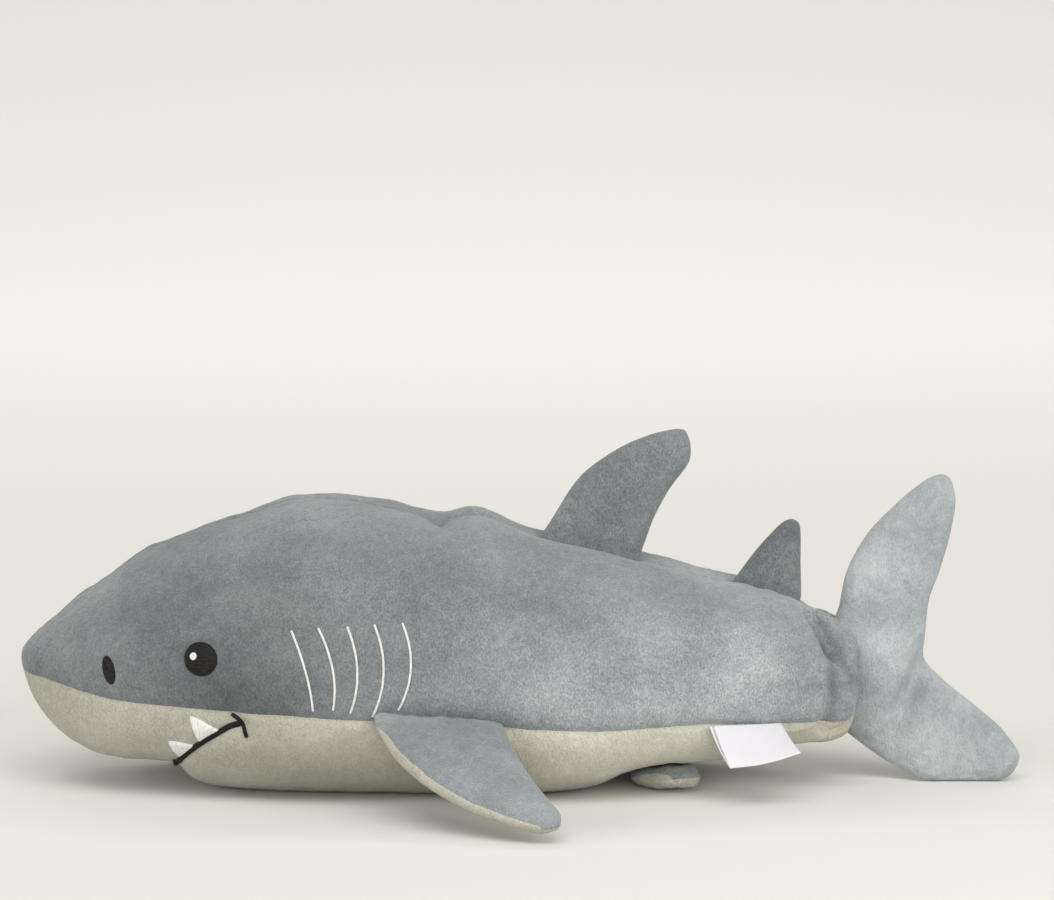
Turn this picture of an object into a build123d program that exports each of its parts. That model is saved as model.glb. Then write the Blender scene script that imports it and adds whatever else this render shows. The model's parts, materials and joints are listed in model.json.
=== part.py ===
from build123d import *
import math
import os

# A plush shark: a fleece skin sewn from three panels over a bag of grain, with seven stuffed fins
# and a care label that fold at the seams that hold them.
#
# +X runs from the nose to the tail, +Z is up, and the toy lies on its belly on z = 0, with the
# origin under the middle of its box. Each sub-part goes to parts/NODE.step. Lengths are in mm.

# ---- Driving dimensions ------------------------------------------------------------------

NOSE_X, STOCK_X = -165.0, 106.0  # the body's two ends
CLOTH = 2.5  # fleece with its pile
SEAM_THREAD = 0.6
THREAD_DEPTH = 0.15  # from the fleece's back to the thread
LINER_INSET = CLOTH + 1.1
LINER_CLOTH = 1.0
GRAIN_GAP = 0.2
LINER_X0, LINER_X1 = -126.0, 82.0  # the grain bag's ends; loose fibre fills the rest
FIBRE_GAP = 0.5

# Heights and half-widths of the body along X, and the height of its flank seam.
TOP = [(NOSE_X, 40), (-162, 46), (-152, 56), (-139, 66.3), (-124, 76.6), (-106, 84.4),
       (-85, 91.8), (-61, 95.3), (-40, 92.8), (-24, 89.8), (-8, 87.6), (8, 83.4), (26, 79),
       (60, 70.8), (93, 60), (102, 56), (STOCK_X, 48)]
BOTTOM = [(NOSE_X, 33.5), (-162, 27), (-155, 19), (-146, 13), (-132, 7.5), (-114, 4),
          (-96, -0.6), (-60, -1.6), (6, -1.6), (24, 0.8), (34, 4.6), (44, 7.2), (60, 8),
          (93, 11.5), (102, 14), (STOCK_X, 22)]
HALF_WIDTH = [(NOSE_X, 3), (-162, 9.5), (-152, 20), (-136, 32), (-106, 45), (-76, 51.5),
              (-40, 54), (0, 53), (30, 49), (60, 42), (90, 30.5), (102, 22), (STOCK_X, 12)]
FLANK_SEAM = [(NOSE_X - 5, 39), (-147, 35.2), (-106, 31.6), (-46, 30.2), (0, 27.2), (27, 25.2),
              (60, 25.2), (93, 24), (STOCK_X + 5, 23.5)]
WIDEST_SHARE = 0.46  # where the body is widest, as a share of its height
ROUND_BACK, FLAT_BELLY = 2.0, 2.9  # superellipse exponents of the two halves
SMALLEST_HALF = 1.5  # a section smaller than this is left out

# Face, measured in the side view as X and Z.
EYE_AT, EYE_RADIUS, EYE_PROUD = (-102.3, 48.0), 5.4, 0.8
GLINT_AT, GLINT_RADIUS, GLINT_PROUD = (-104.5, 48.7), 1.25, 0.3
NOSTRIL_AT, NOSTRIL_SIZE, NOSTRIL_TILT = (-133.0, 42.0), (4.0, 9.4), 8.0
STITCH_PROUD = 0.6
MOUTH_LINE = [(-112.5, -5), (-112, 9), (-105, 18.4), (-99.5, 23.2), (-94, 26.3), (-88.9, 27.8)]
MOUTH_WIDTH = 1.6
CORNER_TICK = [(-92.2, 30.6), (-89.6, 28.8), (-87.7, 26.0), (-87.2, 22.8)]
TICK_WIDTH = 1.2
TOOTH_FRONT = [(-113.0, 20.6), (-104.2, 19.0), (-109.4, 13.4)]  # the tip first
TOOTH_REAR = [(-105.6, 29.4), (-96.2, 25.0), (-103.0, 20.2)]
TOOTH_PROUD = 0.4
GILL_WIDTH, GILL_PROUD = 0.8, 0.5
GILL_TOPS = [(-73.1, 58), (-64.4, 59), (-55.1, 59.5), (-46.5, 60.1), (-37.6, 60.4)]
GILL_FEET = [(-66.1, 32.1), (-59.7, 32.5), (-54.2, 31.6), (-47.2, 30.4), (-38.9, 32.7)]
GILL_BULGE = [1.2, 2.4, 2.8, 3.4, 3.5]

# Fins. A fin is drawn in its own plane: u along the root, v away from it. LEAD and TRAIL give
# its two edges, HALF_THICK its half thickness. The fold is the line v = 0, and the root is
# rounded about it with the half thickness there, HINGE_GAP clear of the body.
HINGE_GAP = 0.5
FIN_CLOTH = 2.0
FIN_SHARPNESS = 2.2  # superellipse exponent of a fin's section
PECTORAL = {
    "lead": [(-4, 0), (0, 0), (14, 5), (27, 14), (39, 27), (47, 41), (51, 50)],
    "trail": [(-4, 45), (0, 45), (23, 50), (36, 56), (45, 60), (49, 59), (51, 54)],
    "half_thick": [(0, 3.6), (17, 4.6), (38, 4.0), (48, 2.8), (51, 0.9)],
    "span": 51.0,
}
DORSAL = {
    "lead": [(-5, 1.5), (0, 2.6), (3, 3.7), (14, 8), (24.5, 15.7), (33.5, 27), (37.7, 34.6)],
    "trail": [(-5, 32), (0, 33), (5, 33.7), (16, 36.3), (29, 41.7), (34, 40.6), (37.7, 36)],
    "half_thick": [(0, 4.2), (16, 4.8), (30, 4.0), (35.5, 2.6), (37.7, 0.9)],
    "span": 37.7,
}
SECOND_DORSAL = {
    "lead": [(-4, -0.4), (0, 0.7), (7, 2.9), (13, 5.2), (18.4, 7.5), (19.8, 9.3)],
    "trail": [(-4, 21), (0, 19.4), (8, 16), (17, 12.9), (19, 11.9), (19.8, 11)],
    "half_thick": [(0, 3.2), (8, 3.4), (15, 2.8), (18.5, 2.0), (19.8, 0.8)],
    "span": 19.8,
}
PELVIC = {
    "lead": [(-3, 0), (0, 0), (6, 5), (11, 11), (14, 17)],
    "trail": [(-3, 20), (0, 20), (6, 22), (11, 23.5), (14, 21.5)],
    "half_thick": [(0, 2.2), (5, 2.8), (10, 2.6), (13, 1.8), (14, 0.8)],
    "span": 14.0,
}
TAIL = {  # drawn upright, so here v is the height and u the distance behind the fold
    "lead": [(0.5, 24), (4.4, 13), (10, 5), (16, -2), (22, -4), (50, -4), (57, -4),
             (67, -2.6), (80, 3.4), (92, 13.4), (99.5, 22), (102, 28)],
    "trail": [(0.5, 48), (3, 52.5), (8, 54.1), (16, 49.5), (25, 39.5), (33, 29.5), (41, 22.5),
              (58, 24), (70, 28), (83.5, 31.6), (93, 33), (99.5, 32), (102, 30)],
    "half_thick": [(0.5, 1.0), (3, 3.0), (12, 4.4), (25, 4.4), (45, 4.4), (75, 4.6),
                   (92, 3.6), (99, 2.4), (102, 0.9)],
}
TAIL_FOLD_X = STOCK_X + 4.4 + HINGE_GAP

# Where each fin's fold lies on the body: its front end, and the slope of the fin's plane.
PECTORAL_FOLD = ((-46.5, 30.0), -1.5)  # (x, z) of the front end, and the fold's dip in degrees
PECTORAL_DROOP = 30.0  # below the horizontal
PECTORAL_AWAY = 3.6 + HINGE_GAP + 0.2
DORSAL_FOLD = ((8.0, 83.6), 13.2)
DORSAL_AWAY = 4.2 + HINGE_GAP
SECOND_FOLD = ((73.5, 67.5), 19.0)
SECOND_AWAY = 3.2 + HINGE_GAP
PELVIC_FOLD = ((36.5, 2.9), 2.0)
PELVIC_FOLD_Y = 14.0
PELVIC_DROOP = -8.0

LABEL_WIDTH, LABEL_DROP, LABEL_PLY, LABEL_LOOP = 24.5, 16.0, 0.35, 1.1
LABEL_X, LABEL_DROOP = 62.8, 38.0

STATIONS = 18  # sections in the body's loft
FIN_STATIONS = 12
SECTION_POINTS = 20
STROKE_POINTS = 12  # steps along a stitched line
FAR = 400.0  # a size beyond the whole toy, for cutting tools


# ---- Curves and sections -----------------------------------------------------------------

def profile(knots):
    """A smooth function through (x, value) knots that never overshoots between them."""
    xs, ys = [k[0] for k in knots], [k[1] for k in knots]
    steps = [xs[i + 1] - xs[i] for i in range(len(xs) - 1)]
    rises = [(ys[i + 1] - ys[i]) / steps[i] for i in range(len(steps))]
    slopes = [rises[0]]
    for (h0, h1), (r0, r1) in zip(zip(steps, steps[1:]), zip(rises, rises[1:])):
        w0, w1 = 2 * h1 + h0, h1 + 2 * h0
        slopes.append((w0 + w1) / (w0 / r0 + w1 / r1) if r0 * r1 > 0 else 0.0)
    slopes.append(rises[-1])

    def value(x):
        i = sum(1 for a in xs[1:-1] if a <= x)
        h = steps[i]
        t = min(max((x - xs[i]) / h, 0.0), 1.0)
        start = (1 + 2 * t) * (1 - t) ** 2 * ys[i] + t * (1 - t) ** 2 * h * slopes[i]
        end = t * t * (3 - 2 * t) * ys[i + 1] + t * t * (t - 1) * h * slopes[i + 1]
        return start + end

    return value


def steepness(function, x, low, high):
    """How much longer the curve is than its run at x, for insetting at a right angle to it."""
    a, b = max(x - 0.25, low), min(x + 0.25, high)
    return math.hypot(1.0, (function(b) - function(a)) / (b - a))


def superellipse(angle, exponent):
    """The unit superellipse's (cosine, sine) at an angle."""
    c, s = math.cos(angle), math.sin(angle)
    power = 2 / exponent
    return math.copysign(abs(c) ** power, c), math.copysign(abs(s) ** power, s)


def stations(low, high, count):
    """Places from low to high, closer together at both ends."""
    middle, half = (low + high) / 2, (high - low) / 2
    return [middle - half * math.cos(math.pi * k / count) for k in range(count + 1)]


def ring(points):
    """A closed smooth wire through points."""
    return Wire([Edge.make_spline([Vector(*p) for p in points], periodic=True)])


# ---- Body --------------------------------------------------------------------------------

top, bottom, half_width = profile(TOP), profile(BOTTOM), profile(HALF_WIDTH)
flank_seam = profile(FLANK_SEAM)


def body_section(x, inset):
    """The body's outline at x, inset from the skin's surface, or None where nothing is left."""
    z1 = top(x) - inset * steepness(top, x, NOSE_X, STOCK_X)
    z0 = bottom(x) + inset * steepness(bottom, x, NOSE_X, STOCK_X)
    w = half_width(x) - inset * steepness(half_width, x, NOSE_X, STOCK_X)
    if w < SMALLEST_HALF or z1 - z0 < 2 * SMALLEST_HALF:
        return None
    middle = z0 + WIDEST_SHARE * (z1 - z0)
    points = []
    for k in range(SECTION_POINTS):
        angle = 2 * math.pi * k / SECTION_POINTS
        upper = math.cos(angle) > 0
        c, s = superellipse(angle, ROUND_BACK if upper else FLAT_BELLY)
        points.append((x, w * s, middle + c * ((z1 - middle) if upper else (middle - z0))))
    return ring(points)


def body(inset):
    """The body as one solid, inset (or, below zero, proud) from the skin's surface.

    The belly is flat where it rests, since the sections there reach just below the table.
    """
    shrink = max(inset, 0.0)
    places = stations(NOSE_X + shrink, STOCK_X - shrink, STATIONS)
    sections = [body_section(x, inset) for x in places]
    loft = Solid.make_loft([s for s in sections if s is not None])
    return loft & slab((-FAR, -FAR, inset), (FAR, FAR, FAR))


def slab(low, high):
    """A box from one corner to the other."""
    size = [b - a for a, b in zip(low, high)]
    centre = [(a + b) / 2 for a, b in zip(low, high)]
    return Pos(*centre) * Box(*size)


def side_prism(points, y0=-FAR, y1=FAR):
    """A polygon of the side view, carried across from y0 to y1."""
    face = make_face(Polyline(*[(x, 0, z) for x, z in points], close=True))
    return extrude(Pos(0, y0, 0) * face, amount=y1 - y0, dir=(0, 1, 0))


def below_seam(shift=0.0):
    """Everything below the flank seam, moved up by shift."""
    xs = stations(NOSE_X - 5, STOCK_X + 5, 12)
    edge = Spline(*[(x, 0, flank_seam(x) + shift) for x in xs])
    floor = Polyline(edge @ 1, (xs[-1], 0, -FAR), (xs[0], 0, -FAR), edge @ 0)
    face = make_face([edge, floor])
    return extrude(Pos(0, -FAR, 0) * face, amount=2 * FAR, dir=(0, 1, 0))


def skin_panels(outer):
    """The two back panels and the belly panel."""
    shell = outer - body(CLOTH)
    under = below_seam()
    back = shell - under
    return {
        "belly_panel": shell & under,
        "back_panel_left": back & slab((-FAR, -FAR, -FAR), (FAR, 0, FAR)),
        "back_panel_right": back & slab((-FAR, 0, -FAR), (FAR, FAR, FAR)),
    }


def seam_threads():
    """The threads that close the seams, on the fleece's back."""
    start = CLOTH + THREAD_DEPTH
    layer = body(start) - body(start + SEAM_THREAD)
    level = below_seam(SEAM_THREAD / 2) - below_seam(-SEAM_THREAD / 2)
    half = SEAM_THREAD / 2
    upper = layer & slab((-FAR, -half, -FAR), (FAR, half, FAR))
    return {
        "flank_seam_thread": layer & level,
        "back_seam_thread": upper - below_seam(SEAM_THREAD),
    }


def filling():
    """The grain, its bag, and the fibre in the nose and in front of the tail."""
    def between(x0, x1):
        return slab((x0, -FAR, -FAR), (x1, FAR, FAR))

    space = body(LINER_INSET)
    bag_x0, bag_x1 = LINER_X0 + LINER_CLOTH, LINER_X1 - LINER_CLOTH
    inside = body(LINER_INSET + LINER_CLOTH) & between(bag_x0, bag_x1)
    grain = body(LINER_INSET + LINER_CLOTH + GRAIN_GAP)
    return {
        "liner_bag": (space & between(LINER_X0, LINER_X1)) - inside,
        "grain_fill": grain & between(bag_x0 + GRAIN_GAP, bag_x1 - GRAIN_GAP),
        "nose_stuffing": space & between(-FAR, LINER_X0 - FIBRE_GAP),
        "tail_stock_stuffing": space & between(LINER_X1 + FIBRE_GAP, FAR),
    }


# ---- Face --------------------------------------------------------------------------------

def stroke(points, width):
    """A line of even width in the side view, as an outline of points."""
    line = Spline(*[(x, 0, z) for x, z in points])
    left, right = [], []
    for k in range(STROKE_POINTS + 1):
        share = k / STROKE_POINTS
        at, along = line @ share, line % share
        out = Vector(-along.Z, 0, along.X) * (width / 2)
        left.append(((at + out).X, (at + out).Z))
        right.append(((at - out).X, (at - out).Z))
    return left + right[::-1]


def oval(centre, size, tilt, half):
    """An ellipse of the side view, carried from the middle out through one side."""
    face = Ellipse(size[0] / 2, size[1] / 2).face()
    plane = Plane(origin=(centre[0], 0, centre[1]), x_dir=(1, 0, 0), z_dir=(0, -1, 0))
    return extrude(plane * Rot(0, 0, tilt) * face, amount=-half * FAR)


def gill_line(top_end, foot, bulge):
    """One gill stitch, bowed towards the tail."""
    middle = ((top_end[0] + foot[0]) / 2 + bulge, (top_end[1] + foot[1]) / 2 + 1.0)
    return stroke([top_end, middle, foot], GILL_WIDTH)


def sewn_face(outer):
    """The stitched features of both sides, each lying on the skin."""
    eye_skin = body(-EYE_PROUD)
    eye = eye_skin - outer
    glint = body(-EYE_PROUD - GLINT_PROUD) - eye_skin
    stitched = body(-STITCH_PROUD) - outer
    white = body(-TOOTH_PROUD) - outer
    thread = body(-GILL_PROUD) - outer
    mouth = side_prism(stroke(MOUTH_LINE, MOUTH_WIDTH))
    tick = side_prism(stroke(CORNER_TICK, TICK_WIDTH))
    found = {"mouth_stitching": (stitched & mouth) - tick}
    for side, half in (("left", -1), ("right", 1)):
        near, far = sorted((0, half * FAR))
        gills = [thread & side_prism(gill_line(*g), near, far)
                 for g in zip(GILL_TOPS, GILL_FEET, GILL_BULGE)]
        found.update({
            f"eye_{side}": eye & oval(EYE_AT, (2 * EYE_RADIUS,) * 2, 0, half),
            f"eye_glint_{side}": glint & oval(GLINT_AT, (2 * GLINT_RADIUS,) * 2, 0, half),
            f"nostril_{side}": stitched & oval(NOSTRIL_AT, NOSTRIL_SIZE, NOSTRIL_TILT, half),
            f"mouth_corner_{side}": stitched & tick & slab((-FAR, near, -FAR), (FAR, far, FAR)),
            f"tooth_front_{side}": (white & side_prism(TOOTH_FRONT, near, far)) - mouth,
            f"tooth_rear_{side}": (white & side_prism(TOOTH_REAR, near, far)) - mouth,
            f"gill_stitching_{side}": Compound(children=[s for g in gills for s in g.solids()]),
        })
    return found


# ---- Fins --------------------------------------------------------------------------------

def fin_solid(shape, inset, low, high, root_radius=None):
    """A fin as one puffed solid in its own plane, inset from its surface."""
    lead, trail = profile(shape["lead"]), profile(shape["trail"])
    thick = profile(shape["half_thick"])
    sections = []
    for v in stations(low + inset, high - inset, FIN_STATIONS):
        b = thick(max(v, 0.0) if root_radius else v)
        if root_radius and v < 0:
            b = math.sqrt(max(root_radius ** 2 - v ** 2, 0.8 ** 2))
        a = (trail(v) - lead(v)) / 2 - inset * 1.15
        b -= inset
        if a < 0.8 or b < 0.35:
            continue
        middle = (trail(v) + lead(v)) / 2
        ends = [superellipse(2 * math.pi * k / SECTION_POINTS, FIN_SHARPNESS)
                for k in range(SECTION_POINTS)]
        sections.append(ring([(middle + a * c, v, b * s) for c, s in ends]))
    return Solid.make_loft(sections)


def fin_parts(shape, low, high, root_radius, names):
    """A fin's two cloth panels and its stuffing, in its own plane."""
    outer = fin_solid(shape, 0.0, low, high, root_radius)
    shell = outer - fin_solid(shape, FIN_CLOTH, low, high, root_radius)
    front, back, stuffing = names
    return {
        front: shell & slab((-FAR, -FAR, 0), (FAR, FAR, FAR)),
        back: shell & slab((-FAR, -FAR, -FAR), (FAR, FAR, 0)),
        stuffing: fin_solid(shape, FIN_CLOTH + 0.2, low, high, root_radius),
    }


def rooted_fin(shape, names):
    radius = shape["half_thick"][0][1]
    return fin_parts(shape, -radius, shape["span"], radius, names)


def placed(parts, plane):
    return {name: plane.location * part for name, part in parts.items()}


def mirrored(parts, old, new):
    """The same parts on the other side of the toy, renamed."""
    return {name.replace(old, new): mirror(part, about=Plane.XZ)
            for name, part in parts.items()}


def upright_fin(shape, fold, away, prefix):
    """A fin that stands on the back, its fold along the slope of the back."""
    (x, z), dip = fold
    slope = math.radians(dip)
    along = Vector(math.cos(slope), 0, -math.sin(slope))
    out = Vector(math.sin(slope), 0, math.cos(slope))
    origin = Vector(x, 0, z) + out * away
    plane = Plane(origin=origin, x_dir=along, z_dir=(0, -1, 0))
    names = [f"{prefix}_panel_left", f"{prefix}_panel_right", f"{prefix}_stuffing"]
    return placed(rooted_fin(shape, names), plane)


def side_fin(shape, origin, dip, droop, prefix):
    """A left fin that reaches out from the flank and droops towards the floor."""
    slope, fall = math.radians(dip), math.radians(droop)
    along = Vector(math.cos(slope), 0, math.sin(slope))
    out = Vector(0, -math.cos(fall), -math.sin(fall))
    plane = Plane(origin=origin, x_dir=along, z_dir=along.cross(out))
    names = [f"{prefix}_left_under_panel", f"{prefix}_left_upper_panel",
             f"{prefix}_left_stuffing"]
    return placed(rooted_fin(shape, names), plane)


def side_fins():
    (x, z), dip = PECTORAL_FOLD
    away = flank_y(x + 20, z) + PECTORAL_AWAY
    pectoral = side_fin(PECTORAL, (x, -away, z), dip, PECTORAL_DROOP, "pectoral")
    (x, z), dip = PELVIC_FOLD
    pelvic = side_fin(PELVIC, (x, -PELVIC_FOLD_Y, z), dip, PELVIC_DROOP, "pelvic")
    left = {**pectoral, **pelvic}
    return {**left, **mirrored(left, "_left_", "_right_")}


def flank_y(x, z):
    """The skin's half width at x and height z, on its upper or lower half."""
    z0, z1 = bottom(x), top(x)
    middle = z0 + WIDEST_SHARE * (z1 - z0)
    share, power = (z - middle) / (z1 - middle), ROUND_BACK
    if z < middle:
        share, power = (middle - z) / (middle - z0), FLAT_BELLY
    return half_width(x) * (1 - share ** power) ** (1 / power)


def tail_fin():
    plane = Plane(origin=(TAIL_FOLD_X, 0, 0), x_dir=(1, 0, 0), z_dir=(0, -1, 0))
    names = ["tail_fin_panel_left", "tail_fin_panel_right", "tail_fin_stuffing"]
    low, high = TAIL["half_thick"][0][0], TAIL["half_thick"][-1][0]
    return placed(fin_parts(TAIL, low, high, None, names), plane)


def care_label():
    """A folded ribbon, open at the seam that holds its two ends."""
    depth = LABEL_DROP - LABEL_LOOP / 2
    band = Pos(0, depth / 2, 0) * Box(LABEL_WIDTH, depth, LABEL_LOOP, align=Align.CENTER)
    fold = Pos(0, depth, 0) * Rot(0, 90, 0) * Cylinder(LABEL_LOOP / 2, LABEL_WIDTH)
    inner = LABEL_LOOP / 2 - LABEL_PLY
    slot = Pos(0, depth / 2 - 1, 0) * Box(LABEL_WIDTH + 2, depth + 2, 2 * inner)
    eye = Pos(0, depth, 0) * Rot(0, 90, 0) * Cylinder(inner, LABEL_WIDTH + 2)
    ribbon = (band + fold) - slot - eye
    x = LABEL_X + LABEL_WIDTH / 2
    z = flank_seam(x)
    fall = math.radians(LABEL_DROOP)
    out = Vector(0, -math.cos(fall), -math.sin(fall))
    origin = Vector(x, -flank_y(LABEL_X, z) - 1.6, z)
    plane = Plane(origin=origin, x_dir=(1, 0, 0), z_dir=Vector(1, 0, 0).cross(out))
    return {"care_label": plane.location * ribbon}


# ---- Assembly ----------------------------------------------------------------------------

def whole_toy():
    outer = body(0.0)
    return {
        **skin_panels(outer),
        **seam_threads(),
        **filling(),
        **sewn_face(outer),
        **upright_fin(DORSAL, DORSAL_FOLD, DORSAL_AWAY, "dorsal_fin"),
        **upright_fin(SECOND_DORSAL, SECOND_FOLD, SECOND_AWAY, "second_dorsal_fin"),
        **side_fins(),
        **tail_fin(),
        **care_label(),
    }


os.makedirs("parts", exist_ok=True)
for node, part in whole_toy().items():
    export_step(part, f"parts/{node}.step")
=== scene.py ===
"""The looks of a plush shark: a fleece skin of three panels, stuffed fins, a stitched face and gills,
and a ribbon label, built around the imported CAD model. Lengths are in mm until a mesh is made.
"""

import json
import math

import bmesh
import bpy
import numpy as np
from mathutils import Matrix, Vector, noise
from mathutils.bvhtree import BVHTree


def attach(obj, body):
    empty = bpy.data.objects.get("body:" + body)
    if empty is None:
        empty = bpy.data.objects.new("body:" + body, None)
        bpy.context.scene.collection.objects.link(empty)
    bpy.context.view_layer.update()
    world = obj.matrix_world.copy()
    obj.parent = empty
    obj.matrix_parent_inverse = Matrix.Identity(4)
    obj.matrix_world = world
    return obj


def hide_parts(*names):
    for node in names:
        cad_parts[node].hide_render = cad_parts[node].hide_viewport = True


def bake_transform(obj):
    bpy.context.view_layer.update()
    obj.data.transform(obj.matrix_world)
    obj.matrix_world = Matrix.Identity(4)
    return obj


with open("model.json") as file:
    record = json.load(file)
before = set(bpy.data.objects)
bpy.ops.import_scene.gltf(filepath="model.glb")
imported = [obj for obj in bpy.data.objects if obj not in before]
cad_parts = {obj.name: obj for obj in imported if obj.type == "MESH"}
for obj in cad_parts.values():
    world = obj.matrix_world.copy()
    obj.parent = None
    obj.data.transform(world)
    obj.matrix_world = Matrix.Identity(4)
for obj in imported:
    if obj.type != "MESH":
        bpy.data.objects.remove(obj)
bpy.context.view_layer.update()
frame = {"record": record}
MM = 0.001
SIDES = (("left", -1), ("right", 1))
JOINTS = {j["name"]: j for j in frame["record"]["behaviour"]["joints"]}

# ---- Shape of the body -------------------------------------------------------------------

NOSE_X, RING_X = -165.0, 112.0  # the nose's tip and the back of the gathered ring at the tail
TOP = [(NOSE_X, 41.5), (-162, 47.2), (-152, 55.4), (-144, 61.8), (-138, 65.6), (-130, 71.8),
       (-124, 76), (-116, 79.6), (-106, 83.4), (-96, 86.6), (-85, 90.6), (-74, 93.8), (-61, 94.6),
       (-44, 92.4), (-30, 89.6), (-14, 87.6), (8, 82.2), (26, 78.6), (60, 70.8), (93, 60.4),
       (100, 56), (105, 51.5), (110, 46), (RING_X, 36)]
BOTTOM = [(NOSE_X, 41.5), (-163.3, 34.6), (-160.3, 27.6), (-155, 20.8), (-146, 13.8), (-136, 9.8),
          (-126, 8.2), (-116, 7.4), (-109, 4.8), (-104, 2.6), (-98, 0.8), (-88, -0.4), (-60, -1.2),
          (6, -1.2), (24, 0.8), (34, 4.6), (44, 7.2), (60, 8), (78, 10), (93, 12.6), (102, 14.4),
          (107, 17.4), (110.5, 24), (RING_X, 34)]
HALF_WIDTH = [(NOSE_X, 0), (-162, 9.5), (-152, 20), (-136, 32), (-106, 45), (-76, 51.5), (-40, 54),
              (0, 53), (30, 49), (60, 42), (90, 31), (101, 25.5), (107, 20.5), (110.5, 13),
              (RING_X, 0)]
FLANK_SEAM = [(NOSE_X, 41.4), (-164.2, 38.6), (-162, 37.2), (-156, 36.2), (-147, 34.6), (-128, 32.2),
              (-106, 31.6), (-80, 30.4), (-52, 29.0), (-30, 28.0), (0, 26.0), (27, 24.6), (60, 25),
              (93, 22.8), (105, 22.2), (108, 22.4), (111, 27), (RING_X, 35)]
WIDEST_SHARE, ROUND_BACK, FLAT_BELLY = 0.46, 2.0, 2.9
CLOTH, THREAD_RADIUS = 2.2, 0.3
LINER_X = (-126.0, 82.0)
STATIONS, BELLY_COLUMNS, BACK_COLUMNS = 520, 54, 104


def smooth_curve(knots, place=lambda x: x):
    """A smooth array function through (x, value) knots that never overshoots, drawn over place(x)."""
    xs = np.array([place(k[0]) for k in knots], float)
    ys = np.array([k[1] for k in knots], float)
    steps, rises = np.diff(xs), np.diff(ys) / np.diff(xs)
    slopes = np.concatenate([rises[:1], np.zeros(len(rises) - 1), rises[-1:]])
    w0, w1 = 2 * steps[1:] + steps[:-1], steps[1:] + 2 * steps[:-1]
    same = rises[:-1] * rises[1:] > 0
    first, second = np.where(same, rises[:-1], 1), np.where(same, rises[1:], 1)
    slopes[1:-1] = np.where(same, (w0 + w1) / (w0 / first + w1 / second), 0)

    def value(x):
        at = place(np.asarray(x, float))
        i = np.clip(np.searchsorted(xs, at, "right") - 1, 0, len(steps) - 1)
        t = np.clip((at - xs[i]) / steps[i], 0, 1)
        start = (1 + 2 * t) * (1 - t) ** 2 * ys[i] + t * (1 - t) ** 2 * steps[i] * slopes[i]
        end = t * t * (3 - 2 * t) * ys[i + 1] + t * t * (t - 1) * steps[i] * slopes[i + 1]
        return start + end

    return value


def body_place(x):
    """0 to 1 along the body, slower at both ends, so that the ends of a curve drawn over it are round."""
    share = np.clip((np.asarray(x, float) - NOSE_X) / (RING_X - NOSE_X), 0, 1)
    return np.arccos(1 - 2 * share) / math.pi


top, bottom, half_width = (smooth_curve(k, body_place) for k in (TOP, BOTTOM, HALF_WIDTH))
flank_seam = smooth_curve(FLANK_SEAM)


def unit(v):
    return v / np.maximum(np.linalg.norm(v, axis=-1, keepdims=True), 1e-9)


def bell(distance, width):
    return np.exp(-((distance / width) ** 2))


def ease(x, low, high):
    t = np.clip((x - low) / (high - low), 0, 1)
    return t * t * (3 - 2 * t)


def lumps(points, size, seed):
    """Smooth noise from about -1 to 1 at each point, with features of about size."""
    flat = points.reshape(-1, 3) / size + seed * 7.31
    return np.array([noise.noise(Vector(p)) for p in flat]).reshape(points.shape[:-1]) * 1.6


def closer_at_ends(t, amount=0.6):
    return t - amount * np.sin(2 * math.pi * t) / (2 * math.pi)


def off_line(x, z, knots):
    """The distance from each (x, z) to a polyline, and how far along it the nearest point lies."""
    best, along, run = np.full(x.shape, 1e9), np.zeros(x.shape), 0.0
    for (x0, z0), (x1, z1) in zip(knots, knots[1:]):
        length = math.hypot(x1 - x0, z1 - z0)
        t = np.clip(((x - x0) * (x1 - x0) + (z - z0) * (z1 - z0)) / length ** 2, 0, 1)
        d = np.hypot(x - x0 - t * (x1 - x0), z - z0 - t * (z1 - z0))
        along = np.where(d < best, run + t * length, along)
        best, run = np.minimum(best, d), run + length
    return best, along / run


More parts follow.
